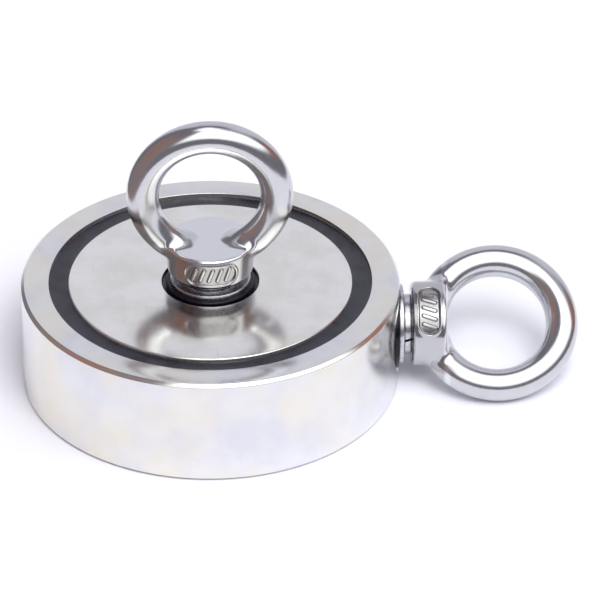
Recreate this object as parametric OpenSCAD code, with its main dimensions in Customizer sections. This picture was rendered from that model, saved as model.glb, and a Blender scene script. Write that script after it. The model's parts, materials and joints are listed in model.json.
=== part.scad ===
// Double-sided pot magnet with a screwed-in eye bolt on its upper face and another in its side wall.
// The origin is the middle of the lower face, +Z is up, and the side eye bolt points along +X.

/* [Housing] */
// Outer diameter of the steel pot
pot_d = 94; // [90:1:100]
// Height of the pot, face to face
pot_h = 28; // [27:0.5:32]
// Width of the rim around each magnet
rim_w = 6.9; // [5:0.1:9]
// Thickness of the steel web between the two magnets
web_t = 13; // [12.8:0.1:14]
// Diameter of the centre boss
boss_d = 20; // [18:0.5:21]
// Chamfer on the four edges of the rim
rim_chamfer = 0.8; // [0.3:0.1:1.5]

/* [Magnets] */
// Outer diameter of each ring magnet
magnet_d = 70.5; // [66:0.5:74]
// Diameter of the hole in each ring magnet
magnet_hole_d = 24; // [24:0.5:26]
// How far each magnet's face lies below the rim
magnet_recess = 0.2; // [0.1:0.1:0.4]
// Rounding of the magnet's edges
magnet_edge = 0.4; // [0.2:0.1:0.8]
// Thickness of the glue film under each magnet
bond_t = 0.3; // [0.2:0.1:0.5]
// How far the potting lies below the rim
potting_recess = 1.1; // [0.5:0.1:2]

/* [Eye bolts] */
// Outer diameter of the eye
eye_d = 41; // [39:0.5:43]
// Diameter of the bar that the eye is made of
eye_bar_d = 8; // [7:0.25:9]
// Diameter of the collar at its top
collar_d = 21.7; // [20.5:0.1:22]
// Diameter of the collar at its base
collar_base_d = 21.2; // [20:0.1:21.5]
// Height of the collar
collar_h = 8.6; // [7.5:0.1:8.8]
// Chamfer on the collar's edges
collar_chamfer = 0.9; // [0.4:0.1:1.2]
// Distance from the collar's base to the middle of the eye
eye_rise = 21.4; // [20.5:0.1:21.6]
// Length of the threaded shank
shank_l = 18; // [15:0.5:18]
// Outer diameter of the thread
thread_d = 10; // [9.9:0.05:10]
// Pitch of the thread
thread_pitch = 1.5; // [1.25:0.25:1.5]
// Slope of the side eye, low enough to clear the surface that the pot lies on
side_eye_slope = 36.5; // [0:0.5:36.5]

/* [Washers and seals] */
// Outer diameter of the flat washer
flat_d = 20; // [18:0.5:21]
// Thickness of the flat washer
flat_t = 1.2; // [1:0.1:2]
// Outer diameter of the spring washer
spring_d = 15.0; // [14.5:0.1:16.5]
// Thickness of the spring washer
spring_t = 1.9; // [1.8:0.1:2.6]
// Width of the split in the spring washer
spring_split = 0.7; // [0.4:0.1:1.2]
// Outer diameter of the rubber seal ring
seal_d = 22.1; // [21:0.1:23.4]
// Thickness of the rubber seal ring
seal_t = 1.5; // [1.2:0.1:1.8]

/* [Hidden] */
$fn = 96;

pot_r = pot_d / 2;
recess_r = pot_r - rim_w;
boss_r = boss_d / 2;
magnet_r = magnet_d / 2;
magnet_hole_r = magnet_hole_d / 2;
mid_z = pot_h / 2;
recess_depth = (pot_h - web_t) / 2;
overcut = 1;

// Bores: the two eye bolts run in clearance bores, and the free end of the centre bore is the tapping size
shank_clearance = 0.05;
bolt_bore_r = thread_d / 2 + shank_clearance;
tapped_r = 4.25;
bore_end_gap = 0.6;

// Seats: each seal stands a little proud of the magnet face on top, and is let into the wall at the side
seal_proud = 0.1;
seal_hole_r = 5.4;
top_seat_z = pot_h + seal_proud - seal_t;
boss_drop = pot_h - top_seat_z;
side_seal_face_x = pot_r - 0.2;
side_seat_x = side_seal_face_x - seal_t;
spot_face_r = 11.9;

stack_t = flat_t + spring_t;
top_collar_z = top_seat_z + seal_t + stack_t;
side_collar_x = side_seal_face_x + stack_t;
flat_hole_r = 5.25;
spring_hole_r = 5.15;
split_slant = 20;

eye_bar_r = eye_bar_d / 2;
eye_r = eye_d / 2 - eye_bar_r;
thread_r = thread_d / 2;
thread_depth = 0.61 * thread_pitch;
thread_crest = thread_pitch / 8;
neck_l = 1.5;
turns = floor((shank_l - neck_l - 1) / thread_pitch);

// The marking panel pressed into the collar: a stadium-shaped recess with slanted ribs standing in it
panel_l = 13.8;
panel_w = 5.8;
panel_depth = 0.35;
rib_count = 5;
rib_step = 2.2;
rib_w = 0.8;
rib_l = 3.8;
rib_slant = 20;
rib_lift = 0.25;

// The two places of an eye bolt and its washers, which are all drawn with the collar's base at zero.
// At the side the marking panel, which is drawn facing -Y, faces up, and slope then leans it to -Y.
module on_top() {
    translate([0, 0, top_collar_z]) children();
}

module on_side(slope = 0) {
    translate([side_collar_x, 0, mid_z]) rotate([slope, 0, 0]) rotate([0, 90, 0]) rotate([0, 0, -90]) children();
}

// A flat ring with square edges
module ring(r_out, r_in, h) {
    difference() {
        cylinder(r = r_out, h = h);
        translate([0, 0, -overcut]) cylinder(r = r_in, h = h + 2 * overcut);
    }
}

// ---- pot ----

module pot_blank() {
    c = rim_chamfer;
    rotate_extrude() polygon([
        [0, 0], [pot_r - c, 0], [pot_r, c], [pot_r, pot_h - c], [pot_r - c, pot_h], [0, pot_h]
    ]);
}

// Everything that is turned away above the web: the magnet's recess, and the boss cut down to its seat
module face_cut() {
    translate([0, 0, pot_h - recess_depth]) ring(recess_r, boss_r, recess_depth + overcut);
    translate([0, 0, top_seat_z]) cylinder(r = boss_r + overcut, h = boss_drop + overcut);
}

module housing() {
    bore_floor_z = top_collar_z - shank_l - bore_end_gap;
    side_floor_x = side_collar_x - shank_l - bore_end_gap;
    color("silver") difference() {
        pot_blank();
        face_cut();
        translate([0, 0, pot_h]) mirror([0, 0, 1]) face_cut();
        translate([0, 0, bore_floor_z]) cylinder(r = bolt_bore_r, h = pot_h);
        translate([0, 0, -overcut]) cylinder(r = tapped_r, h = pot_h);
        translate([side_floor_x, 0, mid_z]) rotate([0, 90, 0]) cylinder(r = bolt_bore_r, h = pot_r);
        translate([side_seat_x, 0, mid_z]) rotate([0, 90, 0]) cylinder(r = spot_face_r, h = pot_r);
    }
}

// ---- magnets and the resin around them, drawn for the upper face ----

module magnet() {
    top = pot_h - magnet_recess;
    bottom = pot_h - recess_depth + bond_t;
    e = magnet_edge;
    color("gainsboro") rotate_extrude() polygon([
        [magnet_hole_r, bottom], [magnet_r, bottom], [magnet_r, top - e], [magnet_r - e, top],
        [magnet_hole_r + e, top], [magnet_hole_r, top - e]
    ]);
}

module bond_layer() {
    color("dimgray") translate([0, 0, pot_h - recess_depth])
        ring(magnet_r, magnet_hole_r, bond_t);
}

module potting_ring() {
    color("darkslategray") translate([0, 0, pot_h - recess_depth])
        ring(recess_r, magnet_r, recess_depth - potting_recess);
}

module core_potting() {
    color("darkslategray") translate([0, 0, pot_h - recess_depth])
        ring(magnet_hole_r, boss_r, recess_depth - boss_drop);
}

module lower_face() {
    translate([0, 0, pot_h]) mirror([0, 0, 1]) children();
}

// ---- washers and seals, drawn below the collar's base ----

module seal_ring() {
    edge = 0.4;
    r = seal_d / 2;
    color("black") translate([0, 0, -stack_t - seal_t]) rotate_extrude() polygon([
        [seal_hole_r, 0], [r - edge, 0], [r, edge], [r, seal_t - edge], [r - edge, seal_t], [seal_hole_r, seal_t]
    ]);
}

module flat_washer() {
    color("lightgray") translate([0, 0, -stack_t]) ring(flat_d / 2, flat_hole_r, flat_t);
}

module spring_washer() {
    color("lightgray") translate([0, 0, -spring_t]) difference() {
        ring(spring_d / 2, spring_hole_r, spring_t);
        rotate([split_slant, 0, 0])
            translate([0, -spring_split / 2, -spring_t]) cube([spring_d, spring_split, 3 * spring_t]);
    }
}

// ---- eye bolt, drawn upright with the collar's base at zero and the eye in the XZ plane ----

module collar() {
    c = collar_chamfer;
    r0 = collar_base_d / 2;
    r1 = collar_d / 2;
    rotate_extrude() polygon([
        [0, 0], [r0 - c, 0], [r0 - 0.3 * c, 0.3 * c], [r0, c],
        [r1, collar_h - c], [r1 - 0.3 * c, collar_h - 0.3 * c], [r1 - c, collar_h], [0, collar_h]
    ]);
}

module eye() {
    translate([0, 0, eye_rise]) rotate([90, 0, 0]) rotate_extrude() translate([eye_r, 0]) circle(r = eye_bar_r);
}

// Ring grooves stand for the thread: they have its pitch, depth and crest, but no lead
module shank() {
    root_r = thread_r - thread_depth;
    flank = (thread_pitch - 2 * thread_crest) / 2;
    rotate_extrude() polygon(concat(
        [[0, 1], [root_r, 1], [root_r, -neck_l]],
        [for (i = [0:turns - 1], p = [
            [thread_r, flank], [thread_r, flank + thread_crest], [root_r, 2 * flank + thread_crest],
            [root_r, thread_pitch]
        ]) [p[0], -neck_l - i * thread_pitch - p[1]]],
        [[root_r, -shank_l + 0.5], [root_r - 0.5, -shank_l], [0, -shank_l]]
    ));
}

module panel_outline() {
    straight = panel_l - panel_w;
    square([straight, panel_w], center = true);
    for (side = [-1, 1]) translate([side * straight / 2, 0]) circle(d = panel_w);
}

module panel_cut() {
    floor_r = (collar_base_d + collar_d) / 4 - panel_depth;
    translate([0, 0, collar_h / 2]) difference() {
        rotate([90, 0, 0]) linear_extrude(collar_d) panel_outline();
        translate([0, 0, -collar_h]) cylinder(r = floor_r, h = 2 * collar_h);
        intersection() {
            translate([0, 0, -collar_h]) cylinder(r = floor_r + rib_lift, h = 2 * collar_h);
            for (i = [0:rib_count - 1])
                translate([(i - (rib_count - 1) / 2) * rib_step, 0, 0]) rotate([0, rib_slant, 0])
                    translate([-rib_w / 2, -collar_d, -rib_l / 2]) cube([rib_w, collar_d, rib_l]);
        }
    }
}

module eye_bolt() {
    color("silver") union() {
        difference() {
            union() {
                collar();
                eye();
            }
            panel_cut();
        }
        shank();
    }
}

housing();
magnet();  // upper_magnet
lower_face() magnet();  // lower_magnet
bond_layer();  // upper_bond_layer
lower_face() bond_layer();  // lower_bond_layer
potting_ring();  // upper_potting_ring
lower_face() potting_ring();  // lower_potting_ring
core_potting();  // upper_core_potting
lower_face() core_potting();  // lower_core_potting
on_top() seal_ring();  // top_seal_ring
on_top() flat_washer();  // top_flat_washer
on_top() spring_washer();  // top_spring_washer
on_top() eye_bolt();  // top_eye_bolt
on_side() seal_ring();  // side_seal_ring
on_side() flat_washer();  // side_flat_washer
on_side() spring_washer();  // side_spring_washer
on_side(side_eye_slope) eye_bolt();  // side_eye_bolt
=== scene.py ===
"""A double-sided pot magnet with an eye bolt in its upper face and another in its wall.

Lengths are in metres. The pot stands on its lower face at zero, +Z is up, and the side eye bolt points
along +X.
"""
import json
import math
from contextlib import contextmanager

import bmesh
import bpy
import numpy as np
from mathutils import Matrix, Vector


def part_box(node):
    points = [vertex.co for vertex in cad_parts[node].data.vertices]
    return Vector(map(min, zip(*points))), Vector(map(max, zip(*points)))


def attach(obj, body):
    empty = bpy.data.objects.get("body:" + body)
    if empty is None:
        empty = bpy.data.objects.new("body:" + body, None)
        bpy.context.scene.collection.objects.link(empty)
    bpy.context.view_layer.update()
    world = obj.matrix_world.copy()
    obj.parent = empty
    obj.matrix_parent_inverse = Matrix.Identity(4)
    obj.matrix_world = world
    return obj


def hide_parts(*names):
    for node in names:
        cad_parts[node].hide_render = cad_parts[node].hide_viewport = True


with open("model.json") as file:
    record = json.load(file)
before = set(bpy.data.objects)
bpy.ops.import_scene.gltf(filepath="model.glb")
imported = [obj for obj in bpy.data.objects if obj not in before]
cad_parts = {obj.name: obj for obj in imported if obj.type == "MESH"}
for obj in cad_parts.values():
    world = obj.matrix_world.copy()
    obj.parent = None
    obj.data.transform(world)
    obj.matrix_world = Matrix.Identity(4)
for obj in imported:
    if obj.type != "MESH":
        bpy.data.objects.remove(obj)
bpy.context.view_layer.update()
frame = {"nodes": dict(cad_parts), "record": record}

MM = 0.001

# ---- sizes taken from the frame ----
POT_R = -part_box("housing")[0].x
POT_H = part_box("housing")[1].z
MAGNET_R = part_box("upper_magnet")[1].x
MAGNET_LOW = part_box("upper_magnet")[0].z
MAGNET_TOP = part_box("upper_magnet")[1].z
RECESS_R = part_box("upper_potting_ring")[1].x
RECESS_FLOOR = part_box("upper_potting_ring")[0].z
RESIN_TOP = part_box("upper_potting_ring")[1].z
CORE_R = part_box("upper_core_potting")[1].x
SEAT_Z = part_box("top_seal_ring")[0].z
SEAL_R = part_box("top_seal_ring")[1].x
SEAL_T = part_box("top_seal_ring")[1].z - SEAT_Z
FLAT_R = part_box("top_flat_washer")[1].x
FLAT_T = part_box("top_flat_washer")[1].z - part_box("top_flat_washer")[0].z
SPRING_R = -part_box("top_spring_washer")[0].x
SPRING_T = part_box("top_spring_washer")[1].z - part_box("top_spring_washer")[0].z
TOP_COLLAR_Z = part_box("top_spring_washer")[1].z
SIDE_COLLAR_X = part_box("side_spring_washer")[1].x
SIDE_SEAT_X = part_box("side_seal_ring")[0].x
SHANK_L = TOP_COLLAR_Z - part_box("top_eye_bolt")[0].z

# ---- sizes that no box gives ----
BOSS_R = 10 * MM
BORE_R = 5.05 * MM
TAPPED_R = 4.25 * MM
BORE_END_GAP = 0.6 * MM
SPOT_FACE_R = 11.9 * MM
RIM_CHAMFER = 0.8 * MM
CHAMFER_ROUNDING = 0.1 * MM
RIM_INNER_ROUNDING = 0.12 * MM
BOSS_ROUNDING = 0.3 * MM
MAGNET_ROUNDING = 0.4 * MM
RESIN_RING_DIP = 0.3 * MM
RESIN_CORE_DIP = 0.15 * MM
RESIN_CLIMB = 2.5
RESIN_SLICES = 12

SEAL_HOLE_R = 5.4 * MM
SEAL_ROUNDING = 0.5 * MM
SEAL_HOLE_ROUNDING = 0.2 * MM
FLAT_HOLE_R = 5.25 * MM
FLAT_ROLLED_EDGE = 0.3 * MM
FLAT_SHARP_EDGE = 0.12 * MM
SPRING_HOLE_R = 5.15 * MM
SPRING_ROUNDING = 0.4 * MM
SPRING_SPLIT = 0.7 * MM
SPLIT_SLANT = math.radians(20)
STACK_T = FLAT_T + SPRING_T

EYE_BAR_R = 4 * MM
EYE_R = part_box("top_eye_bolt")[1].x - EYE_BAR_R
EYE_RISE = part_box("top_eye_bolt")[1].z - EYE_BAR_R - EYE_R - TOP_COLLAR_Z
COLLAR_H = 8.6 * MM
COLLAR_BASE_R = 10.6 * MM
COLLAR_TOP_R = 10.85 * MM
COLLAR_BASE_ROUNDING = 1.3 * MM
COLLAR_TOP_ROUNDING = 0.8 * MM
COLLAR_CROWN = 0.35 * MM
INNER_FILLET = 2.2 * MM
OUTER_FILLET = 1.0 * MM
BASE_TO_TOP_ROUNDING = (3 * MM, 5 * MM)
INNER_TO_OUTER_FILLET = (EYE_R + 1 * MM, EYE_R + 4 * MM)
FILLET_GROWS = (1.5 * MM, 5 * MM)
LEAST_FILLET = 0.01 * MM
BAR_BEGINS = (COLLAR_H + 0.5 * MM, COLLAR_H + 5 * MM)
SIDE_ENDS = (COLLAR_H - 0.9 * MM, COLLAR_H - 0.3 * MM)
TOP_ENDS = (COLLAR_H + 0.5 * MM, COLLAR_H + 1 * MM)

THREAD_R = 4.98 * MM
THREAD_ROOT_R = 4.1 * MM
THREAD_PITCH = 1.5 * MM
THREAD_START = -2 * MM
RIDGE_W = 0.82 * THREAD_PITCH
RIDGE_CREST = 0.2
RIDGE_TURNS = 12
RIDGE_OVERLAP = 0.3 * MM
BLANK_R = THREAD_R + 0.3 * MM
SHANK_CHAMFER = 1.4 * MM

PANEL_L = 13.8 * MM
PANEL_W = 5.8 * MM
PANEL_DEPTH = 0.38 * MM
PANEL_WALL = (-0.5 * MM, -0.2 * MM)
LIP_H = 0.16 * MM
LIP_W = 0.3 * MM
RIB_COUNT = 5
RIB_STEP = 2.2 * MM
RIB_W = 0.85 * MM
RIB_L = 3.9 * MM
RIB_H = 0.3 * MM
RIB_WALL = (-0.2 * MM, 0.12 * MM)
RIB_SLANT = math.radians(20)
PANEL_FOOT = -0.4 * MM
RIB_FOOT = 0.1 * MM
FOOT_W = 0.16 * MM
# How much painted shade the sunk panel gets.
PANEL_SHADE = 0.45
PANEL_MARGIN = 0.8 * MM

TURNED_STEPS = 256
THREAD_STEPS = 64
SKIN_VOXEL = 0.3 * MM
SETTLE_ROUNDS = 10
SETTLE_STEP = 0.02 * MM
LEAST_STEEPNESS = 0.3
TOUCHING = 0.01 * MM
WELD = 0.001 * MM
SPARE = 2 * MM

side_eye = next(m for m in frame["record"]["mounts"] if m["name"] == "side_eye")
SIDE_SLOPE = math.atan2(-side_eye["axis"][1], side_eye["axis"][2])

# Eye bolts and their washers are made upright, with the collar's base at zero, and then put in one of these
# places. The side eye bolt is also turned about its own axis, so that its eye slopes.
ON_TOP = Matrix.Translation((0, 0, TOP_COLLAR_Z))
SIDE_SEAT = Matrix.Translation((SIDE_COLLAR_X, 0, POT_H / 2))
TIPPED = Matrix.Rotation(math.pi / 2, 4, "Y") @ Matrix.Rotation(-math.pi / 2, 4, "Z")
ON_SIDE = SIDE_SEAT @ TIPPED
ON_SIDE_SLOPED = SIDE_SEAT @ Matrix.Rotation(SIDE_SLOPE, 4, "X") @ TIPPED
OTHER_FACE = Matrix.Translation((0, 0, POT_H)) @ Matrix.Diagonal((1, 1, -1, 1))


# ---- modelling helpers ----

def make_active(piece):
    bpy.ops.object.select_all(action="DESELECT")
    piece.select_set(True)
    bpy.context.view_layer.objects.active = piece


@contextmanager
def edit_mode(piece, element):
    """Edit mode on one piece, in vertex, edge or face select mode."""
    make_active(piece)
    bpy.ops.object.mode_set(mode="EDIT")
    bpy.ops.mesh.select_mode(type=element)
    yield
    bpy.ops.object.mode_set(mode="OBJECT")


def middle(item):
    """Where a vertex, an edge or a face is."""
    if isinstance(item, bmesh.types.BMVert):
        return item.co
    return sum((v.co for v in item.verts), Vector()) / len(item.verts)


def select_where(piece, element, test):
    """In edit mode, selects just the items whose middle passes the test."""
    mesh = bmesh.from_edit_mesh(piece.data)
    bpy.ops.mesh.select_all(action="DESELECT")
    items = {"VERT": mesh.verts, "EDGE": mesh.edges, "FACE": mesh.faces}[element]
    for item in items:
        if test(middle(item)):
            item.select_set(True)
    bmesh.update_edit_mesh(piece.data)


def close_to(a, b):
    return abs(a - b) < TOUCHING


def section(name, inner, outer, low, high):
    """A rectangle in the XZ plane: the cross-section of a ring, where a turned part starts."""
    bpy.ops.object.select_all(action="DESELECT")
    centre = ((inner + outer) / 2, 0, (low + high) / 2)
    bpy.ops.mesh.primitive_plane_add(size=1, location=centre, rotation=(math.pi / 2, 0, 0))
    piece = bpy.context.object
    piece.name = name
    piece.scale = (outer - inner, high - low, 1)
    bpy.ops.object.transform_apply(location=True, rotation=True, scale=True)
    return piece


def cut_section(piece, x=None, z=None):
    """Cuts a section along an upright line at x, or a level line at z."""
    with edit_mode(piece, "FACE"):
        bpy.ops.mesh.select_all(action="SELECT")
        if x is not None:
            bpy.ops.mesh.bisect(plane_co=(x, 0, 0), plane_no=(1, 0, 0))
        else:
            bpy.ops.mesh.bisect(plane_co=(0, 0, z), plane_no=(0, 0, 1))


def pull_edges(piece, test, offset):
    """Extrudes the section's edges that pass the test by an offset."""
    with edit_mode(piece, "EDGE"):
        select_where(piece, "EDGE", test)
        bpy.ops.mesh.extrude_region_move(TRANSFORM_OT_translate={"value": offset})


def break_corners(piece, test, size, segments):
    """Chamfers or rounds the section's corners that pass the test."""
    with edit_mode(piece, "VERT"):
        select_where(piece, "VERT", test)
        bpy.ops.mesh.bevel(offset=size, segments=segments, affect="VERTICES")


def turn(piece):
    """Spins a section's outline round the Z axis into a closed ring."""
    with edit_mode(piece, "FACE"):
        bpy.ops.mesh.select_all(action="SELECT")
        bpy.ops.mesh.dissolve_faces()
        bpy.ops.mesh.select_all(action="SELECT")
        bpy.ops.mesh.delete(type="ONLY_FACE")
        bpy.ops.mesh.select_mode(type="EDGE")
        bpy.ops.mesh.select_all(action="SELECT")
        bpy.ops.mesh.spin(steps=TURNED_STEPS, angle=math.tau, center=(0, 0, 0), axis=(0, 0, 1))
        bpy.ops.mesh.select_all(action="SELECT")
        bpy.ops.mesh.remove_doubles(threshold=WELD)
        bpy.ops.mesh.normals_make_consistent(inside=False)
    return piece


def rod(radius, start, end, vertices=96):
    """A plain cylinder from one point to another."""
    start, end = Vector(start), Vector(end)
    bpy.ops.object.select_all(action="DESELECT")
    turn_to = (end - start).to_track_quat("Z", "Y").to_euler()
    bpy.ops.mesh.primitive_cylinder_add(
        vertices=vertices, radius=radius, depth=(end - start).length,
        location=(start + end) / 2, rotation=turn_to,
    )
    piece = bpy.context.object
    bpy.ops.object.transform_apply(location=True, rotation=True, scale=True)
    return piece


def apply_modifier(piece, kind, **settings):
    modifier = piece.modifiers.new(kind.lower(), kind)
    for name, value in settings.items():
        setattr(modifier, name, value)
    make_active(piece)
    bpy.ops.object.modifier_apply(modifier=modifier.name)


def combine(piece, tool, operation):
    """Cuts a tool out of a piece, joins it on, or keeps what both hold. The tool is used up."""
    apply_modifier(piece, "BOOLEAN", operation=operation, solver="EXACT", object=tool)
    bpy.data.objects.remove(tool)


def smooth(piece, angle=30):
    make_active(piece)
    bpy.ops.object.shade_smooth_by_angle(angle=math.radians(angle))


def placed_copy(piece, name, place):
    """A copy of a piece with its own mesh, moved to its place."""
    copy = piece.copy()
    copy.data = piece.data.copy()
    copy.name = name
    bpy.context.collection.objects.link(copy)
    copy.data.transform(place)
    if place.determinant() < 0:
        copy.data.flip_normals()
    return copy


def fit_out(piece, body, node, finish):
    """Gives a finished piece its body and its material, and hides the CAD node it stands for."""
    piece.data.name = piece.name
    piece.data.materials.clear()
    piece.data.materials.append(finish)
    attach(piece, body)
    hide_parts(node)


# ---- pot, magnets and resin ----

def make_pot():
    """The turned steel pot: a web, a rim and a centre boss that stand up and down from it, and the bores."""
    web_low = POT_H - RECESS_FLOOR
    bore_floor = TOP_COLLAR_Z - SHANK_L - BORE_END_GAP
    side_bore_floor = SIDE_COLLAR_X - SHANK_L - BORE_END_GAP
    pot = section("pot_shell", BORE_R, POT_R, web_low, RECESS_FLOOR)
    cut_section(pot, x=BOSS_R)
    cut_section(pot, x=RECESS_R)
    cut_section(pot, z=bore_floor)
    pull_edges(pot, lambda p: p.x > RECESS_R and close_to(p.z, RECESS_FLOOR), (0, 0, POT_H - RECESS_FLOOR))
    pull_edges(pot, lambda p: p.x > RECESS_R and close_to(p.z, web_low), (0, 0, -web_low))
    pull_edges(pot, lambda p: p.x < BOSS_R and close_to(p.z, RECESS_FLOOR), (0, 0, SEAT_Z - RECESS_FLOOR))
    pull_edges(pot, lambda p: p.x < BOSS_R and close_to(p.z, web_low), (0, 0, RECESS_FLOOR - SEAT_Z))
    pull_edges(pot, lambda p: close_to(p.x, BORE_R) and p.z < bore_floor, (TAPPED_R - BORE_R, 0, 0))

    def on_face(p):
        return close_to(p.z, 0) or close_to(p.z, POT_H)

    break_corners(pot, lambda p: on_face(p) and close_to(p.x, POT_R), RIM_CHAMFER, 1)
    break_corners(pot, lambda p: on_face(p) and p.x < POT_R - RIM_CHAMFER / 2, RIM_INNER_ROUNDING, 3)
    break_corners(pot, lambda p: close_to(p.x, POT_R), CHAMFER_ROUNDING, 2)
    break_corners(pot, lambda p: close_to(p.z, SEAT_Z) or close_to(p.z, POT_H - SEAT_Z), BOSS_ROUNDING, 2)
    turn(pot)
    outside = (POT_R + 5 * MM, 0, POT_H / 2)
    combine(pot, rod(BORE_R, (side_bore_floor, 0, POT_H / 2), outside), "DIFFERENCE")
    combine(pot, rod(SPOT_FACE_R, (SIDE_SEAT_X, 0, POT_H / 2), outside, vertices=160), "DIFFERENCE")
    smooth(pot, 25)
    return pot


def make_magnet():
    magnet = section("magnet", CORE_R, MAGNET_R, MAGNET_LOW, MAGNET_TOP)
    break_corners(magnet, lambda p: close_to(p.z, MAGNET_TOP), MAGNET_ROUNDING, 5)
    turn(magnet)
    smooth(magnet)
    return magnet


def make_resin(name, inner, outer, top, dip):
    """Cast resin between two walls: its surface sinks in the middle and climbs a little up both walls."""
    resin = section(name, inner, outer, RECESS_FLOOR, top)
    for i in range(1, RESIN_SLICES):
        cut_section(resin, x=inner + (outer - inner) * i / RESIN_SLICES)
    centre, half = (inner + outer) / 2, (outer - inner) / 2
    for vertex in resin.data.vertices:
        if close_to(vertex.co.z, top):
            across = (vertex.co.x - centre) / half
            vertex.co.z -= dip * (1 - abs(across) ** RESIN_CLIMB)
    turn(resin)
    smooth(resin, 60)
    return resin


# ---- washers and seals, made below the collar's base ----

def make_seal_ring():
    seal = section("seal_ring", SEAL_HOLE_R, SEAL_R, -STACK_T - SEAL_T, -STACK_T)
    break_corners(seal, lambda p: close_to(p.x, SEAL_R), SEAL_ROUNDING, 6)
    break_corners(seal, lambda p: close_to(p.x, SEAL_HOLE_R), SEAL_HOLE_ROUNDING, 2)
    turn(seal)
    smooth(seal, 50)
    return seal


def make_flat_washer():
    """A stamped washer: its upper edge is rolled over by the punch and its lower edge is sharper."""
    washer = section("flat_washer", FLAT_HOLE_R, FLAT_R, -STACK_T, -SPRING_T)
    break_corners(washer, lambda p: close_to(p.z, -SPRING_T) and p.x > FLAT_R / 2, FLAT_ROLLED_EDGE, 4)
    break_corners(washer, lambda p: close_to(p.z, -STACK_T), FLAT_SHARP_EDGE, 2)
    turn(washer)
    smooth(washer, 40)
    return washer


def make_spring_washer():
    """A split washer: a ring of rounded wire, cut through at a slant."""
    washer = section("spring_washer", SPRING_HOLE_R, SPRING_R, -SPRING_T, 0)
    break_corners(washer, lambda p: True, SPRING_ROUNDING, 4)
    turn(washer)
    bpy.ops.object.select_all(action="DESELECT")
    at = (SPRING_R, 0, -SPRING_T / 2)
    bpy.ops.mesh.primitive_cube_add(size=1, location=at, rotation=(SPLIT_SLANT, 0, 0))
    slit = bpy.context.object
    slit.scale = (2 * SPRING_R, SPRING_SPLIT, 3 * SPRING_T)
    bpy.ops.object.transform_apply(location=True, rotation=True, scale=True)
    combine(washer, slit, "DIFFERENCE")
    smooth(washer, 40)
    return washer


# ---- eye bolt, made upright with the collar's base at zero and the eye in the XZ plane ----

def ease(value, low, high):
    """0 below low and 1 above high, with a smooth step between."""
    t = np.clip((value - low) / (high - low), 0, 1)
    return t * t * (3 - 2 * t)


def bell(value, at, width):
    """1 where the value is, falling to 0 on both sides."""
    return np.exp(-(((value - at) / width) ** 2))


def panel_shape(points):
    """How much of each a point has: the sunk panel, its raised lip, a rib, and the foot of a rib or wall."""
    x, y, z = points.T
    around = np.arctan2(x, -y) * (COLLAR_BASE_R + COLLAR_TOP_R) / 2
    up = z - COLLAR_H / 2
    beyond = np.hypot(np.maximum(np.abs(around) - (PANEL_L - PANEL_W) / 2, 0), up) - PANEL_W / 2
    sunk = 1 - ease(beyond, *PANEL_WALL)
    lip = bell(beyond, 0, LIP_W)
    ribs, feet = np.zeros_like(sunk), bell(beyond, PANEL_FOOT, FOOT_W)
    for i in range(RIB_COUNT):
        along = around - (i - (RIB_COUNT - 1) / 2) * RIB_STEP
        across = along * math.cos(RIB_SLANT) - up * math.sin(RIB_SLANT)
        length = along * math.sin(RIB_SLANT) + up * math.cos(RIB_SLANT)
        shape = np.hypot(np.maximum(np.abs(length) - (RIB_L - RIB_W) / 2, 0), across) - RIB_W / 2
        ribs = np.maximum(ribs, 1 - ease(shape, *RIB_WALL))
        feet = np.maximum(feet, bell(shape, RIB_FOOT, FOOT_W))
    side = (y < 0) & (np.abs(up) < COLLAR_H / 2) & (np.hypot(x, y) > COLLAR_BASE_R - 2 * MM)
    return sunk * side, lip * side, ribs * sunk * side, feet * side


def panel_height(points):
    """How far the panel stands out of the collar: a sunk stadium with a raised lip and slanted ribs."""
    sunk, lip, ribs, _ = panel_shape(points)
    return LIP_H * lip - PANEL_DEPTH * sunk + RIB_H * ribs


def forged_distance(points):
    """Signed distance from the forged form: a round bar bent to an eye, blended into a rounded collar."""
    x, y, z = points.T
    from_axis = np.hypot(x, y)
    eye = np.hypot(np.hypot(x, z - EYE_RISE) - EYE_R, y) - EYE_BAR_R
    radius = COLLAR_BASE_R + (COLLAR_TOP_R - COLLAR_BASE_R) * z / COLLAR_H
    top = COLLAR_H + COLLAR_CROWN * np.clip(1 - (from_axis / COLLAR_BASE_R) ** 2, 0, 1)
    to_top = ease(z, *BASE_TO_TOP_ROUNDING)
    rounding = COLLAR_BASE_ROUNDING + (COLLAR_TOP_ROUNDING - COLLAR_BASE_ROUNDING) * to_top
    outward = from_axis - radius + rounding
    upward = np.maximum(z - top, -z) + rounding
    corner = np.hypot(np.maximum(outward, 0), np.maximum(upward, 0))
    collar = corner + np.minimum(np.maximum(outward, upward), 0) - rounding
    outside = ease(np.hypot(x, z - EYE_RISE), *INNER_TO_OUTER_FILLET)
    fillet = INNER_FILLET + (OUTER_FILLET - INNER_FILLET) * outside
    reach = LEAST_FILLET + fillet * ease(np.abs(x), *FILLET_GROWS)
    near = np.maximum(1 - np.abs(eye - collar) / reach, 0)
    return np.minimum(eye, collar) - near**2 * reach / 4 - panel_height(points)


def vertex_points(mesh):
    """Where a mesh's vertices are, one row each."""
    flat = np.empty(len(mesh.vertices) * 3)
    mesh.vertices.foreach_get("co", flat)
    return flat.reshape(-1, 3)


def settle_on_form(piece):
    """Moves every vertex along the form's slope until it lies on the form."""
    points = vertex_points(piece.data)
    steps = SETTLE_STEP * np.eye(3)
    for _ in range(SETTLE_ROUNDS):
        distance = forged_distance(points)
        rises = [forged_distance(points + step) - forged_distance(points - step) for step in steps]
        slope = np.stack(rises, axis=1) / (2 * SETTLE_STEP)
        steepness = np.maximum((slope**2).sum(1), LEAST_STEEPNESS)
        points = points - slope * (distance / steepness)[:, None]
    piece.data.vertices.foreach_set("co", points.ravel())
    piece.data.update()


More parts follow.
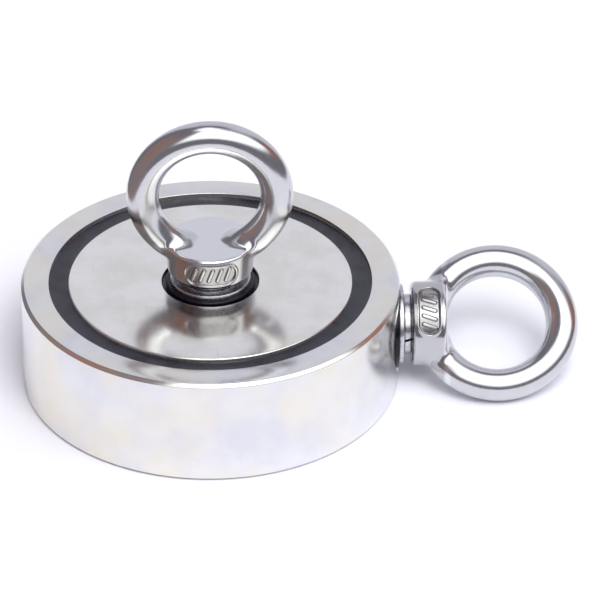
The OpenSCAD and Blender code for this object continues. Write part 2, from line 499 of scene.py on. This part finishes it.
def make_forging():
    """The eye and the collar, fused into one skin and pressed to form."""
    bpy.ops.object.select_all(action="DESELECT")
    bpy.ops.mesh.primitive_torus_add(
        location=(0, 0, EYE_RISE), rotation=(math.pi / 2, 0, 0), major_radius=EYE_R, minor_radius=EYE_BAR_R,
        major_segments=128, minor_segments=48,
    )
    bolt = bpy.context.object
    collar = rod(COLLAR_BASE_R, (0, 0, 0), (0, 0, COLLAR_H))
    with edit_mode(collar, "FACE"):
        select_where(collar, "FACE", lambda p: close_to(p.z, COLLAR_H))
        bpy.ops.transform.resize(value=(COLLAR_TOP_R / COLLAR_BASE_R,) * 2 + (1,))
    make_active(bolt)
    collar.select_set(True)
    bpy.ops.object.join()
    bpy.ops.object.transform_apply(location=True, rotation=True, scale=True)
    apply_modifier(bolt, "REMESH", mode="VOXEL", voxel_size=SKIN_VOXEL)
    settle_on_form(bolt)

    def round_the_panel(p):
        within = abs(p.x) < PANEL_L / 2 + PANEL_MARGIN
        level = abs(p.z - COLLAR_H / 2) < PANEL_W / 2 + PANEL_MARGIN
        return p.y < 0 and within and level and math.hypot(p.x, p.y) > COLLAR_BASE_R - PANEL_MARGIN

    with edit_mode(bolt, "FACE"):
        select_where(bolt, "FACE", round_the_panel)
        bpy.ops.mesh.subdivide(number_cuts=2)
    settle_on_form(bolt)
    return bolt


def make_thread():
    """The threaded shank: a ridge screwed down round a core, cut to a chamfered blank."""
    ridge = section("shank", THREAD_ROOT_R - RIDGE_OVERLAP, THREAD_R, THREAD_START - RIDGE_W, THREAD_START)
    with edit_mode(ridge, "EDGE"):
        select_where(ridge, "EDGE", lambda p: close_to(p.x, THREAD_R))
        crest_middle = (THREAD_R, 0, THREAD_START - RIDGE_W / 2)
        bpy.ops.transform.resize(value=(1, 1, RIDGE_CREST), center_override=crest_middle)
        bpy.ops.mesh.select_all(action="SELECT")
        bpy.ops.mesh.delete(type="ONLY_FACE")
    apply_modifier(
        ridge, "SCREW", axis="Z", angle=math.tau, screw_offset=-THREAD_PITCH, iterations=RIDGE_TURNS,
        steps=THREAD_STEPS, render_steps=THREAD_STEPS, use_smooth_shade=False,
    )
    with edit_mode(ridge, "VERT"):
        bpy.ops.mesh.select_all(action="SELECT")
        bpy.ops.mesh.remove_doubles(threshold=WELD)
        bpy.ops.mesh.select_all(action="SELECT")
        bpy.ops.mesh.fill_holes(sides=4)
        bpy.ops.mesh.select_all(action="SELECT")
        bpy.ops.mesh.normals_make_consistent(inside=False)
    combine(ridge, rod(THREAD_ROOT_R, (0, 0, SPARE / 2), (0, 0, -SHANK_L - SPARE)), "UNION")
    blank = rod(BLANK_R, (0, 0, SPARE), (0, 0, -SHANK_L))
    with edit_mode(blank, "FACE"):
        select_where(blank, "FACE", lambda p: close_to(p.z, -SHANK_L))
        bpy.ops.mesh.bevel(offset=SHANK_CHAMFER, segments=1)
    combine(ridge, blank, "INTERSECT")
    return ridge


def mark_surface(piece):
    """Attributes for the metal: the hollows that get painted shade, which part is bar, the collar's side
    that gets painted shade and the collar's top that gets a painted highlight, and a grain that follows the
    bar."""
    mesh = piece.data
    points = vertex_points(mesh)
    x, y, z = points.T
    sunk, _, ribs, feet = panel_shape(points)
    thread = np.clip((THREAD_R - np.hypot(x, y)) / (THREAD_R - THREAD_ROOT_R), 0, 1) * (z < -1 * MM)
    # The hollows: the sunk panel, the thread's roots and the feet of walls and ribs, which get painted
    # shade.
    hollow_shade_mask = np.maximum(PANEL_SHADE * (sunk - ribs).clip(0, 1), thread)
    around_eye = np.arctan2(x, z - EYE_RISE) * EYE_R
    grain = np.stack([around_eye, np.hypot(x, z - EYE_RISE), y], axis=1)
    on_bar = ease(z, *BAR_BEGINS)
    # The collar's side gets painted shade and its top gets a painted highlight.
    on_side = 1 - ease(z, *SIDE_ENDS)
    on_top = (1 - on_side) * (1 - ease(z, *TOP_ENDS))
    marks = {"hollow_shade_mask": np.maximum(hollow_shade_mask, feet), "on_bar": on_bar, "on_side": on_side, "on_top": on_top}
    for name, values in marks.items():
        mesh.attributes.new(name, "FLOAT", "POINT").data.foreach_set("value", values)
    mesh.attributes.new("bar_grain", "FLOAT_VECTOR", "POINT").data.foreach_set("vector", grain.ravel())


def make_eye_bolt():
    bolt = make_forging()
    combine(bolt, make_thread(), "UNION")
    mark_surface(bolt)
    smooth(bolt, 35)
    return bolt


# ---- colours ----

def rgb(red, green, blue):
    """An sRGB colour, 0 to 255, as linear light with full alpha."""
    def linear(value):
        value /= 255
        return value / 12.92 if value <= 0.04045 else ((value + 0.055) / 1.055) ** 2.4

    return (linear(red), linear(green), linear(blue), 1.0)


WARM_NICKEL = rgb(232, 227, 214)
COOL_NICKEL = rgb(219, 220, 225)
CLOUDED_NICKEL = rgb(236, 235, 233)
RUBBED_NICKEL = rgb(206, 202, 196)
MAGNET_FACE = rgb(230, 228, 221)
MAGNET_HAZE = rgb(240, 239, 236)
MAGNET_SCRATCH = rgb(208, 205, 198)
RESIN = rgb(23, 21, 35)
DARK_RESIN = rgb(13, 12, 22)
RESIN_PORE = rgb(8, 8, 10)
GLUE = rgb(150, 142, 120)
DARK_GLUE = rgb(120, 112, 96)
RUBBER = rgb(8, 7, 15)
RUBBER_BLOOM = rgb(15, 14, 24)
BRIGHT_ZINC = rgb(206, 206, 211)
DULL_ZINC = rgb(184, 184, 190)
STAINLESS = rgb(202, 202, 203)
BELTED_STAINLESS = rgb(212, 213, 216)
COLLAR_SIDE_SHADE = rgb(174, 172, 173)
# Painted shade for the collar's side and a painted highlight for the collar's top.
COLLAR_TOP_HIGHLIGHT = rgb(230, 230, 234)
PIT = rgb(110, 106, 104)
# Painted shade for the hollows of the eye bolt: the sunk panel, the thread's roots and the feet of walls and
# ribs.
HOLLOW_SHADE = rgb(92, 87, 82)
FLOOR_COOL = rgb(234, 235, 243)
FLOOR_PALE = rgb(238, 239, 246)


# ---- materials ----

class Signal:
    """A value that changes over a surface. Arithmetic on it adds Math nodes."""

    def __init__(self, nodes, socket):
        self.nodes = nodes
        self.socket = socket

    def __add__(self, other):
        return self.nodes.maths("ADD", self, other)

    def __radd__(self, other):
        return self.nodes.maths("ADD", other, self)

    def __sub__(self, other):
        return self.nodes.maths("SUBTRACT", self, other)

    def __rsub__(self, other):
        return self.nodes.maths("SUBTRACT", other, self)

    def __mul__(self, other):
        return self.nodes.maths("MULTIPLY", self, other)

    def __rmul__(self, other):
        return self.nodes.maths("MULTIPLY", other, self)

    def __pow__(self, other):
        return self.nodes.maths("POWER", self, other)

    def __rpow__(self, other):
        return self.nodes.maths("POWER", other, self)

    def larger(self, other):
        return self.nodes.maths("MAXIMUM", self, other)

    def ramp(self, low, high):
        """0 at low, 1 at high, smooth between, and clamped."""
        values = {"Value": self, "From Min": low, "From Max": high}
        return self.nodes.node("ShaderNodeMapRange", {"interpolation_type": "SMOOTHSTEP"}, values)


class Nodes:
    """A tree of shader nodes."""

    def __init__(self, tree):
        self.tree = tree

    def node(self, kind, settings=None, values=None, output=0):
        """Adds a node: its settings first, then its sockets' values or links. Gives one of its outputs."""
        made = self.tree.nodes.new(kind)
        for name, value in (settings or {}).items():
            setattr(made, name, value)
        for socket, value in (values or {}).items():
            if isinstance(value, Signal):
                self.tree.links.new(value.socket, made.inputs[socket])
            else:
                made.inputs[socket].default_value = value
        return Signal(self, made.outputs[output]) if len(made.outputs) else None

    def maths(self, operation, *values):
        return self.node("ShaderNodeMath", {"operation": operation}, dict(enumerate(values)))

    def vector_maths(self, operation, *values, output=0):
        settings = {"operation": operation}
        return self.node("ShaderNodeVectorMath", settings, dict(enumerate(values)), output)

    def mix(self, factor, first, second):
        """One colour turning into another."""
        return self.node("ShaderNodeMix", {"data_type": "RGBA"}, {0: factor, 6: first, 7: second}, output=2)


class Finish(Nodes):
    """One material: a Principled shader whose fixed values are set on its own sockets."""

    def __init__(self, name, **fixed):
        self.material = bpy.data.materials.new(name)
        self.material.use_nodes = True
        super().__init__(self.material.node_tree)
        self.shader = self.tree.nodes["Principled BSDF"]
        for socket, value in fixed.items():
            self.shader.inputs[socket.replace("_", " ")].default_value = value
        self.place = self.node("ShaderNodeTexCoord", output="Object")

    def drive(self, socket, signal):
        self.tree.links.new(signal.socket, self.shader.inputs[socket])

    def marked(self, name, output="Fac"):
        """An attribute of the piece."""
        return self.node("ShaderNodeAttribute", {"attribute_name": name}, output=output)

    def axis(self, index):
        return self.node("ShaderNodeSeparateXYZ", None, {0: self.place}, output=index)

    def from_axis(self):
        """Distance from the Z axis."""
        x, y = self.axis(0), self.axis(1)
        return (x * x + y * y) ** 0.5

    def noise(self, grain, detail=3.0, roughness=0.5, stretch=(1, 1, 1), at=None):
        """Noise whose lumps are about one grain wide, in metres."""
        stretched = self.node("ShaderNodeMapping", None, {"Vector": at or self.place, "Scale": stretch})
        values = {"Vector": stretched, "Scale": 1 / grain, "Detail": detail, "Roughness": roughness}
        return self.node("ShaderNodeTexNoise", None, values)

    def lines(self, along, spacing):
        """Fine parallel lines across a distance."""
        values = {"W": along, "Scale": 1 / spacing, "Detail": 3.0}
        return self.node("ShaderNodeTexNoise", {"noise_dimensions": "1D"}, values)

    def bump(self, height, distance, strength, over=None):
        values = {"Height": height, "Distance": distance, "Strength": strength}
        if over is not None:
            values["Normal"] = over
        return self.node("ShaderNodeBump", None, values)


def plated_steel():
    """Satin nickel over turned steel: soft clouds in the plating, fine turning lines and small rubs."""
    finish = Finish("nickel_plated_steel", Metallic=1.0)
    clouds = finish.noise(7 * MM, detail=4, roughness=0.6).ramp(0.3, 0.7)
    tint = finish.noise(16 * MM, detail=2).ramp(0.35, 0.65)
    lines = finish.lines(finish.from_axis() + finish.axis(2), 0.25 * MM)
    rubs = finish.noise(0.7 * MM, detail=5, roughness=0.7).ramp(0.66, 0.74)
    colour = finish.mix(tint, WARM_NICKEL, COOL_NICKEL)
    colour = finish.mix(clouds * 0.6, colour, CLOUDED_NICKEL)
    finish.drive("Base Color", finish.mix(rubs * 0.2, colour, RUBBED_NICKEL))
    finish.drive("Roughness", 0.15 + clouds * 0.04 + lines * 0.04 + rubs * 0.08)
    finish.drive("Normal", finish.bump(lines, 0.002 * MM, 0.5, over=finish.bump(clouds, 0.01 * MM, 0.5)))
    return finish.material


def polished_magnet():
    """Ground and plated magnet face: nearly a mirror, with a faint haze and hairline scratches."""
    finish = Finish("plated_magnet", Metallic=1.0)
    haze = finish.noise(9 * MM, detail=3).ramp(0.3, 0.7)
    scratches = finish.noise(0.35 * MM, detail=2, stretch=(0.03, 1, 1)).ramp(0.62, 0.7)
    crossing = finish.noise(0.4 * MM, detail=2, stretch=(1, 0.04, 1)).ramp(0.64, 0.7)
    marks = scratches.larger(crossing)
    colour = finish.mix(haze, MAGNET_FACE, MAGNET_HAZE)
    finish.drive("Base Color", finish.mix(marks * 0.15, colour, MAGNET_SCRATCH))
    finish.drive("Roughness", 0.16 + haze * 0.03 + marks * 0.05)
    finish.drive("Normal", finish.bump(marks, 0.001 * MM, 0.3))
    return finish.material


def cast_resin():
    """Grey-black epoxy, wiped round the groove while wet: half gloss, with streaks and pinholes."""
    finish = Finish("cast_resin", IOR=1.52)
    streaks = finish.lines(finish.from_axis(), 0.5 * MM)
    patches = finish.noise(5 * MM, detail=4).ramp(0.4, 0.65)
    pores = finish.noise(0.35 * MM, detail=1).ramp(0.7, 0.78)
    colour = finish.mix(patches, RESIN, DARK_RESIN)
    finish.drive("Base Color", finish.mix(pores, colour, RESIN_PORE))
    finish.drive("Roughness", 0.18 + patches * 0.12 + streaks * 0.08)
    finish.drive("Normal", finish.bump(streaks * 0.4 - pores * 0.5 + patches * 0.6, 0.06 * MM, 0.6))
    return finish.material


def glue_film():
    """Cured adhesive, cloudy and dull."""
    finish = Finish("glue_film", IOR=1.5)
    grain = finish.noise(0.6 * MM, detail=4)
    finish.drive("Base Color", finish.mix(grain, GLUE, DARK_GLUE))
    finish.drive("Roughness", 0.4 + grain * 0.2)
    return finish.material


def seal_rubber():
    """Smooth black rubber with a faint bloom."""
    finish = Finish("seal_rubber", IOR=1.5, Specular_IOR_Level=0.3)
    bloom = finish.noise(1.6 * MM, detail=4).ramp(0.4, 0.7)
    grain = finish.noise(0.12 * MM, detail=2)
    finish.drive("Base Color", finish.mix(bloom, RUBBER, RUBBER_BLOOM))
    finish.drive("Roughness", 0.18 + bloom * 0.12)
    finish.drive("Normal", finish.bump(grain, 0.01 * MM, 0.4))
    return finish.material


def washer_zinc():
    """Zinc plated washers: grey, with the grain of rolled and tumbled steel."""
    finish = Finish("washer_zinc", Metallic=1.0)
    dull = finish.noise(1.8 * MM, detail=4).ramp(0.35, 0.7)
    grain = finish.noise(0.15 * MM, detail=3)
    finish.drive("Base Color", finish.mix(dull, BRIGHT_ZINC, DULL_ZINC))
    finish.drive("Roughness", 0.18 + dull * 0.1 + grain * 0.05)
    finish.drive("Normal", finish.bump(grain, 0.002 * MM, 0.2))
    return finish.material


def eye_steel():
    """Polished stainless forging: wavy and drawn along the bar by the belt, with painted shade in its
    hollows and on the collar's side, and a painted highlight on the collar's top.
    """
    finish = Finish("polished_stainless", Metallic=1.0)
    hollow_shade_mask, on_bar = finish.marked("hollow_shade_mask"), finish.marked("on_bar")
    on_side, on_top = finish.marked("on_side"), finish.marked("on_top")
    bar_grain = finish.marked("bar_grain", "Vector")
    drawn = finish.noise(0.5 * MM, detail=3, roughness=0.6, stretch=(0.12, 1, 1), at=bar_grain)
    long_waves = finish.noise(1.6 * MM, detail=2, stretch=(0.3, 1, 1), at=bar_grain)
    waves = finish.noise(1.2 * MM, detail=3, roughness=0.55)
    belt = finish.noise(5 * MM, detail=2)
    pits = finish.noise(0.3 * MM, detail=2).ramp(0.7, 0.76)
    # Painted shade darkens the hollows: the sunk panel, the thread's roots and the feet of walls and ribs.
    hollow_shade = hollow_shade_mask.ramp(0.1, 1.0)
    colour = finish.mix(belt, STAINLESS, BELTED_STAINLESS)
    # Painted shade darkens the collar's side and a painted highlight lightens its top.
    colour = finish.mix(on_side * 0.5, colour, COLLAR_SIDE_SHADE)
    colour = finish.mix(on_top * 0.8, colour, COLLAR_TOP_HIGHLIGHT)
    colour = finish.mix(pits * 0.5, colour, PIT)
    finish.drive("Base Color", finish.mix(hollow_shade * 0.75, colour, HOLLOW_SHADE))
    finish.drive("Roughness", 0.12 + belt * 0.05 + drawn * on_bar * 0.06 + pits * 0.15 + hollow_shade * 0.2)
    height = waves * 0.5 + belt * 0.8 - pits * 0.25 + (drawn * 0.45 + long_waves * 0.6) * on_bar
    finish.drive("Normal", finish.bump(height, 0.017 * MM, 0.65))
    return finish.material


# ---- the object ----

def build_object():
    steel, magnet_finish, resin = plated_steel(), polished_magnet(), cast_resin()
    rubber, zinc, stainless = seal_rubber(), washer_zinc(), eye_steel()

    fit_out(make_pot(), "pot", "housing", steel)

    magnet = make_magnet()
    ring = make_resin("resin_ring", MAGNET_R, RECESS_R, RESIN_TOP, RESIN_RING_DIP)
    core = make_resin("resin_core", BOSS_R, CORE_R, SEAT_Z, RESIN_CORE_DIP)
    glue = glue_film()
    for face, place in (("upper", Matrix()), ("lower", OTHER_FACE)):
        for part, node, slot, finish in (
            (magnet, "magnet", "magnet_plating", magnet_finish),
            (ring, "potting_ring", "resin", resin),
            (core, "core_potting", "resin", resin),
        ):
            copy = placed_copy(part, f"{face}_{part.name}_cast", place)
            fit_out(copy, "pot", f"{face}_{node}", finish)
        film = frame["nodes"][f"{face}_bond_layer"]
        film.data.materials.clear()
        film.data.materials.append(glue)

    seal, flat, spring = make_seal_ring(), make_flat_washer(), make_spring_washer()
    bolt = make_eye_bolt()
    for side, place, sloped in (("top", ON_TOP, ON_TOP), ("side", ON_SIDE, ON_SIDE_SLOPED)):
        washers = f"{side}_washers"
        for part, name, at, body, node, slot, finish in (
            (seal, "seal", place, "pot", "seal_ring", "rubber", rubber),
            (flat, "washer_flat", place, washers, "flat_washer", "washer_steel", zinc),
            (spring, "washer_spring", place, washers, "spring_washer", "washer_steel", zinc),
            (bolt, "eye_forged", sloped, f"{side}_bolt", "eye_bolt", "eye_steel", stainless),
        ):
            fit_out(placed_copy(part, f"{side}_{name}", at), body, f"{side}_{node}", finish)
    for pattern in (magnet, ring, core, seal, flat, spring, bolt):
        bpy.data.objects.remove(pattern)


# ---- studio ----

FLOOR_LEFT, FLOOR_RIGHT = -0.105, 0.3
FLOOR_FRONT, FLOOR_BACK = -0.23, 0.3
FLOOR_Z = -0.02 * MM

# What the metal mirrors round it. Each patch of the room has a bearing, half a width and half a soft edge,
# then the angles over the horizon between which it comes in, those between which it goes out, and a colour.
# Bearings are in degrees from straight back, growing to the right. A patch lies over those before it.
ROOM = (102, 99, 106)
DIM_WALL_LEFT = ((-103, 38, 14), None, (44, 66), (122, 108, 108))
WOOD_LEFT = ((-95, 9, 6), (6, 16), (40, 54), (136, 100, 88))
WOOD_RIGHT = ((73, 12, 6), (2, 10), (24, 34), (140, 95, 78))
WALL_RIGHT = ((70, 22, 10), (30, 46), None, (150, 149, 158))
PALE_WALL_BEHIND = ((12, 43, 7), None, (52, 62), (183, 184, 192))
SOFTBOX_SIDE = ((148, 61, 6), (16, 31), None)
SOFTBOX_OVERHEAD = (72, 82)
SOFTBOX_COLOUR = (1.1, 1.11, 1.12, 1)
LAMP = ((165, 28, 12), (46, 56), (70, 80))
LAMP_COLOUR = (2.4, 2.4, 2.4, 1)
ROOM_STRENGTH = 1.6
BACKDROP = (250, 250, 253)

LIGHT_SIZE = 0.9
LIGHT_PLACE = (0.4, -1.1, 1.8)
LIGHT_POWER = 19.2

CAMERA_AZIMUTH, CAMERA_ELEVATION, CAMERA_ROLL = -1.869, 33.324, 0.337
CAMERA_DISTANCE = 1.1635
CAMERA_TARGET = (22.24 * MM, -0.73 * MM, 21.95 * MM)
FRAME_W = 36
LENS_PER_FRAME = 7.797


def make_floor():
    """A plain pale board. The pot mirrors it all round, and the eyes mirror the room past its left edge."""
    bpy.ops.object.select_all(action="DESELECT")
    centre = ((FLOOR_LEFT + FLOOR_RIGHT) / 2, (FLOOR_FRONT + FLOOR_BACK) / 2, FLOOR_Z)
    bpy.ops.mesh.primitive_plane_add(size=1, location=centre)
    floor = bpy.context.object
    floor.name = "floor"
    floor.scale = (FLOOR_RIGHT - FLOOR_LEFT, FLOOR_BACK - FLOOR_FRONT, 1)
    bpy.ops.object.transform_apply(location=True, rotation=True, scale=True)
    finish = Finish("pale_floor", Roughness=0.7)
    tone = finish.noise(0.3, detail=2)
    finish.drive("Base Color", finish.mix(tone, FLOOR_COOL, FLOOR_PALE))
    floor.data.materials.append(finish.material)


def make_world():
    """The room by direction: a big softbox over the camera and to its right, a pale wall behind, wooden
    furniture far to the left and right, and the dim room between them."""
    world = bpy.data.worlds.new("studio")
    world.use_nodes = True
    bpy.context.scene.world = world
    world.node_tree.nodes.clear()
    room = Nodes(world.node_tree)

    direction = room.node("ShaderNodeTexCoord", output="Generated")
    level = room.vector_maths("NORMALIZE", room.vector_maths("MULTIPLY", direction, (1, 1, 0)))
    rise = room.node("ShaderNodeSeparateXYZ", None, {0: direction}, output=2)

    def above(low, high):
        """1 above an angle over the horizon, in degrees, with a soft edge from low to high."""
        return rise.ramp(math.sin(math.radians(low)), math.sin(math.radians(high)))

    def towards(bearing, half_width, soft):
        """1 within half_width of a bearing, in degrees, with a soft edge."""
        bearing = math.radians(bearing)
        ahead = (math.sin(bearing), math.cos(bearing), 0)
        facing = room.vector_maths("DOT_PRODUCT", level, ahead, output=1)
        outer, inner = math.radians(half_width + soft), math.radians(half_width - soft)
        return facing.ramp(math.cos(outer), math.cos(inner))

    def patch(width, comes_in, goes_out):
        """1 over a patch of the room."""
        if comes_in is None:
            return towards(*width) * (1 - above(*goes_out))
        if goes_out is None:
            return towards(*width) * above(*comes_in)
        return towards(*width) * (above(*comes_in) * (1 - above(*goes_out)))

    colour = rgb(*ROOM)
    for *place, patch_colour in (DIM_WALL_LEFT, WOOD_LEFT, WOOD_RIGHT, WALL_RIGHT, PALE_WALL_BEHIND):
        colour = room.mix(patch(*place), colour, rgb(*patch_colour))
    softbox = patch(*SOFTBOX_SIDE).larger(above(*SOFTBOX_OVERHEAD))
    colour = room.mix(softbox, colour, SOFTBOX_COLOUR)
    colour = room.mix(patch(*LAMP), colour, LAMP_COLOUR)
    mirrored = room.node("ShaderNodeBackground", None, {"Color": colour, "Strength": ROOM_STRENGTH})
    seen = room.node("ShaderNodeBackground", None, {"Color": rgb(*BACKDROP), "Strength": 1.0})
    camera_ray = room.node("ShaderNodeLightPath", output="Is Camera Ray")
    shown = room.node("ShaderNodeMixShader", None, {0: camera_ray, 1: mirrored, 2: seen})
    room.node("ShaderNodeOutputWorld", None, {"Surface": shown})


def make_light():
    """A soft square light that faces the pot. The metal mirrors the room's softbox instead of it."""
    light = bpy.data.lights.new("softbox", "AREA")
    light.shape = "RECTANGLE"
    light.size, light.size_y = LIGHT_SIZE, LIGHT_SIZE
    light.energy = LIGHT_POWER
    lamp = bpy.data.objects.new("softbox", light)
    bpy.context.collection.objects.link(lamp)
    lamp.location = LIGHT_PLACE
    lamp.rotation_euler = Vector(LIGHT_PLACE).to_track_quat("Z", "Y").to_euler()
    lamp.visible_camera = False
    lamp.visible_glossy = False


def make_camera():
    """A long lens from the front, looking down a third of a right angle."""
    azimuth, elevation = math.radians(CAMERA_AZIMUTH), math.radians(CAMERA_ELEVATION)
    level = math.cos(elevation)
    back = Vector((math.sin(azimuth) * level, -math.cos(azimuth) * level, math.sin(elevation)))
    camera = bpy.data.objects.new("camera", bpy.data.cameras.new("camera"))
    bpy.context.collection.objects.link(camera)
    camera.data.sensor_width = FRAME_W
    camera.data.lens = FRAME_W * LENS_PER_FRAME
    camera.location = Vector(CAMERA_TARGET) + back * CAMERA_DISTANCE
    facing = (-back).to_track_quat("-Z", "Y").to_matrix().to_4x4()
    roll = Matrix.Rotation(math.radians(CAMERA_ROLL), 4, "Z")
    camera.rotation_euler = (facing @ roll).to_euler()
    camera.data.clip_start = 0.01
    camera.data.clip_end = 50
    bpy.context.scene.camera = camera


build_object()
make_floor()
make_world()
make_light()
make_camera()
bpy.context.scene.view_settings.view_transform = "Standard"
